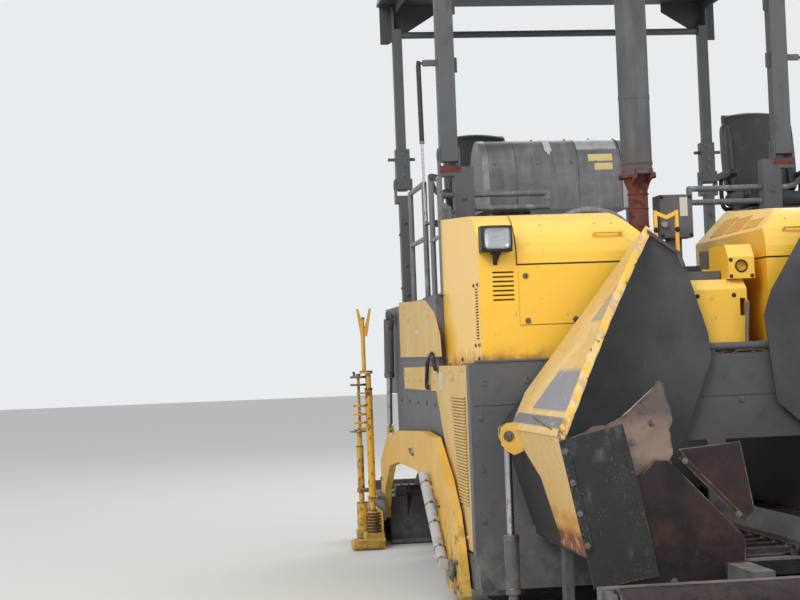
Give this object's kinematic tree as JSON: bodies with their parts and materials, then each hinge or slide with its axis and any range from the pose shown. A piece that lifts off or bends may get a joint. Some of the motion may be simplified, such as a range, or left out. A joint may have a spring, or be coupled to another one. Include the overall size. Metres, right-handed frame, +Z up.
{
  "type": "tracked asphalt paver",
  "caption": "Tracked road paver with tilting hopper wings, conveyor floor, twin engine hoods, folding roof and exhaust, sliding console, augers and a floating extending screed.",
  "frame": {"origin": "middle of the footprint's outline box, on the ground under the machine", "axes": "the machine's front (push rollers and hopper) faces -Y, its right-hand side faces -X, +Z is up; it rests on its tracks at z = 0"},
  "size_m": [3.12, 6.386, 3.9264],
  "materials": {
    "dark_grey_paint": "satin",
    "yellow_paint": "satin",
    "tan_paint": "satin",
    "worn_steel": "satin",
    "bare_steel": "satin",
    "black_rubber": "matte",
    "rusty_iron": "matte",
    "rail_grey": "satin",
    "roof_panel": "matte",
    "black_seat": "matte"
  },
  "bodies": {
    "tractor": {"main_frame": "dark_grey_paint", "bulkhead": "dark_grey_paint", "hopper_floor": "dark_grey_paint", "front_plates": "worn_steel", "conveyors": "worn_steel", "track_right": "black_rubber", "track_left": "black_rubber", "track_frames": "dark_grey_paint", "push_beam": "dark_grey_paint", "engine_block": "rusty_iron", "deck_equipment": "dark_grey_paint", "hood_right": "yellow_paint", "hood_left": "yellow_paint", "centre_cowl": "yellow_paint", "headlamps": "black_seat", "exhaust_elbow": "rusty_iron", "side_panels": "tan_paint", "body_shell": "dark_grey_paint", "platform": "dark_grey_paint", "handrails": "rail_grey", "roof_bases": "dark_grey_paint", "tow_brackets": "dark_grey_paint", "auger_box": "dark_grey_paint", "hoses": "black_rubber"},
    "wing_right": {"wing_right": "yellow_paint", "wing_flap_right": "black_rubber"},
    "wing_barrel_right": {"wing_barrel_right": "dark_grey_paint"},
    "wing_rod_right": {"wing_rod_right": "bare_steel"},
    "wing_left": {"wing_left": "yellow_paint", "wing_flap_left": "black_rubber"},
    "wing_barrel_left": {"wing_barrel_left": "dark_grey_paint"},
    "wing_rod_left": {"wing_rod_left": "bare_steel"},
    "roof_front_arms": {"roof_front_arms": "dark_grey_paint"},
    "roof_rear_arms": {"roof_rear_arms": "dark_grey_paint"},
    "roof_panel": {"roof_panel": "roof_panel"},
    "strut_barrel_right": {"strut_barrel_right": "black_seat"},
    "strut_rod_right": {"strut_rod_right": "bare_steel"},
    "strut_barrel_left": {"strut_barrel_left": "black_seat"},
    "strut_rod_left": {"strut_rod_left": "bare_steel"},
    "screed": {"screed": "dark_grey_paint", "tow_arms": "yellow_paint", "arm_tubes": "rail_grey"},
    "lift_barrel_right": {"lift_barrel_right": "dark_grey_paint"},
    "lift_rod_right": {"lift_rod_right": "bare_steel"},
    "extension_right": {"extension_right": "dark_grey_paint"},
    "end_gate_right": {"end_gate_right": "yellow_paint"},
    "auger_right": {"auger_right": "worn_steel"},
    "push_roller_right": {"push_roller_right": "bare_steel"},
    "hood_lid_right": {"hood_lid_right": "yellow_paint"},
    "seat_right": {"seat_right": "black_seat"},
    "lift_barrel_left": {"lift_barrel_left": "dark_grey_paint"},
    "lift_rod_left": {"lift_rod_left": "bare_steel"},
    "extension_left": {"extension_left": "dark_grey_paint"},
    "end_gate_left": {"end_gate_left": "yellow_paint"},
    "auger_left": {"auger_left": "worn_steel"},
    "push_roller_left": {"push_roller_left": "bare_steel"},
    "hood_lid_left": {"hood_lid_left": "yellow_paint"},
    "seat_left": {"seat_left": "black_seat"},
    "exhaust_pipe": {"exhaust_pipe": "dark_grey_paint"},
    "console": {"console": "dark_grey_paint"}
  },
  "joints": [
    {"name": "wing_tilt_right", "type": "hinge", "parent": "tractor", "child": "wing_right", "pos_m": [-0.96, -2, 0.45], "axis": [0, -1, 0], "range_deg": [0, 50]},
    {"name": "wing_barrel_swing_right", "type": "hinge", "parent": "tractor", "child": "wing_barrel_right", "pos_m": [-1.17, -1.71, 0.12], "axis": [0, -1, 0], "range_deg": [0, 31.94]},
    {"name": "wing_rod_slide_right", "type": "slide", "parent": "wing_barrel_right", "child": "wing_rod_right", "axis": [0, 0, -1], "range_m": [0, 0.2505]},
    {"name": "wing_tilt_left", "type": "hinge", "parent": "tractor", "child": "wing_left", "pos_m": [0.96, -2, 0.45], "axis": [0, 1, 0], "range_deg": [-15, 35]},
    {"name": "wing_barrel_swing_left", "type": "hinge", "parent": "tractor", "child": "wing_barrel_left", "pos_m": [1.17, -1.71, 0.12], "axis": [0, 1, 0], "range_deg": [-9.58, 22.36]},
    {"name": "wing_rod_slide_left", "type": "slide", "parent": "wing_barrel_left", "child": "wing_rod_left", "axis": [-0.1583, 0, -0.9874], "range_m": [-0.07515, 0.17535]},
    {"name": "roof_fold", "type": "hinge", "parent": "tractor", "child": "roof_front_arms", "pos_m": [0, 0.44, 2.57], "axis": [-1, 0, 0], "range_deg": [0, 60]},
    {"name": "roof_rear_fold", "type": "hinge", "parent": "tractor", "child": "roof_rear_arms", "pos_m": [0, 2.15, 2.57], "axis": [-1, 0, 0], "range_deg": [0, 60]},
    {"name": "roof_level", "type": "hinge", "parent": "roof_front_arms", "child": "roof_panel", "pos_m": [0, 0.44, 3.82], "axis": [1, 0, 0], "range_deg": [0, 60]},
    {"name": "strut_swing_right", "type": "hinge", "parent": "roof_front_arms", "child": "strut_barrel_right", "pos_m": [-1.222, 0.44, 3.14], "axis": [1, 0, 0], "range_deg": [0, 25.33]},
    {"name": "strut_rod_slide_right", "type": "slide", "parent": "strut_barrel_right", "child": "strut_rod_right", "axis": [0, 0.0605, 0.9982], "range_m": [0, 0.09541]},
    {"name": "strut_swing_left", "type": "hinge", "parent": "roof_front_arms", "child": "strut_barrel_left", "pos_m": [1.222, 0.44, 3.14], "axis": [1, 0, 0], "range_deg": [0, 25.33]},
    {"name": "strut_rod_slide_left", "type": "slide", "parent": "strut_barrel_left", "child": "strut_rod_left", "axis": [0, 0.0605, 0.9982], "range_m": [0, 0.09541]},
    {"name": "screed_lift", "type": "hinge", "parent": "tractor", "child": "screed", "pos_m": [0, -0.8, 0.2], "axis": [1, 0, 0], "range_deg": [0, 6]},
    {"name": "lift_swing_right", "type": "hinge", "parent": "tractor", "child": "lift_barrel_right", "pos_m": [-1.288, 1.9, 1.64], "axis": [-1, 0, 0], "range_deg": [0, 3.12]},
    {"name": "lift_rod_slide_right", "type": "slide", "parent": "lift_barrel_right", "child": "lift_rod_right", "axis": [0, -0.1865, 0.9824], "range_m": [0, 0.30403]},
    {"name": "extension_slide_right", "type": "slide", "parent": "screed", "child": "extension_right", "axis": [-1, 0, 0], "range_m": [0, 1]},
    {"name": "end_gate_slide_right", "type": "slide", "parent": "extension_right", "child": "end_gate_right", "axis": [0, 0, 1], "range_m": [0, 0.06]},
    {"name": "auger_spin_right", "type": "hinge", "parent": "tractor", "child": "auger_right", "pos_m": [-0.6, 2.2, 0.42], "axis": [1, 0, 0], "continuous": true},
    {"name": "push_roller_spin_right", "type": "hinge", "parent": "tractor", "child": "push_roller_right", "pos_m": [-0.58, -3.12, 0.305], "axis": [1, 0, 0], "continuous": true},
    {"name": "hood_lid_tilt_right", "type": "hinge", "parent": "tractor", "child": "hood_lid_right", "pos_m": [-0.665, -0.034, 2.131], "axis": [1, 0, 0], "range_deg": [-55, 0]},
    {"name": "seat_slide_right", "type": "slide", "parent": "tractor", "child": "seat_right", "axis": [1, 0, 0], "range_m": [-0.3, 0]},
    {"name": "lift_swing_left", "type": "hinge", "parent": "tractor", "child": "lift_barrel_left", "pos_m": [1.288, 1.9, 1.64], "axis": [-1, 0, 0], "range_deg": [0, 3.12]},
    {"name": "lift_rod_slide_left", "type": "slide", "parent": "lift_barrel_left", "child": "lift_rod_left", "axis": [0, -0.1865, 0.9824], "range_m": [0, 0.30403]},
    {"name": "extension_slide_left", "type": "slide", "parent": "screed", "child": "extension_left", "axis": [1, 0, 0], "range_m": [0, 1]},
    {"name": "end_gate_slide_left", "type": "slide", "parent": "extension_left", "child": "end_gate_left", "axis": [0, 0, 1], "range_m": [0, 0.06]},
    {"name": "auger_spin_left", "type": "hinge", "parent": "tractor", "child": "auger_left", "pos_m": [0.6, 2.2, 0.42], "axis": [1, 0, 0], "continuous": true},
    {"name": "push_roller_spin_left", "type": "hinge", "parent": "tractor", "child": "push_roller_left", "pos_m": [0.58, -3.12, 0.305], "axis": [1, 0, 0], "continuous": true},
    {"name": "hood_lid_tilt_left", "type": "hinge", "parent": "tractor", "child": "hood_lid_left", "pos_m": [0.665, -0.034, 2.131], "axis": [1, 0, 0], "range_deg": [-55, 0]},
    {"name": "seat_slide_left", "type": "slide", "parent": "tractor", "child": "seat_left", "axis": [1, 0, 0], "range_m": [-0.3, 0]},
    {"name": "exhaust_fold", "type": "hinge", "parent": "tractor", "child": "exhaust_pipe", "pos_m": [-0.165, -0.73, 2.31], "axis": [1, 0, 0], "range_deg": [0, 90]},
    {"name": "console_slide", "type": "slide", "parent": "tractor", "child": "console", "axis": [1, 0, 0], "range_m": [0, 0.6]}
  ],
  "couplings": [
    {"joint": "wing_barrel_swing_right", "follows": "wing_tilt_right", "ratio": 0.63883},
    {"joint": "wing_rod_slide_right", "follows": "wing_tilt_right", "m_per_rad": 0.28705},
    {"joint": "wing_barrel_swing_left", "follows": "wing_tilt_left", "ratio": 0.63883},
    {"joint": "wing_rod_slide_left", "follows": "wing_tilt_left", "m_per_rad": 0.28705},
    {"joint": "roof_rear_fold", "follows": "roof_fold", "ratio": 1},
    {"joint": "roof_level", "follows": "roof_fold", "ratio": 1},
    {"joint": "strut_swing_right", "follows": "roof_fold", "ratio": 0.4221},
    {"joint": "strut_rod_slide_right", "follows": "roof_fold", "m_per_rad": 0.091114},
    {"joint": "strut_swing_left", "follows": "roof_fold", "ratio": 0.4221},
    {"joint": "strut_rod_slide_left", "follows": "roof_fold", "m_per_rad": 0.091114},
    {"joint": "lift_swing_right", "follows": "screed_lift", "ratio": 0.5193},
    {"joint": "lift_rod_slide_right", "follows": "screed_lift", "m_per_rad": 2.9032},
    {"joint": "lift_swing_left", "follows": "screed_lift", "ratio": 0.5193},
    {"joint": "lift_rod_slide_left", "follows": "screed_lift", "m_per_rad": 2.9032}
  ]
}
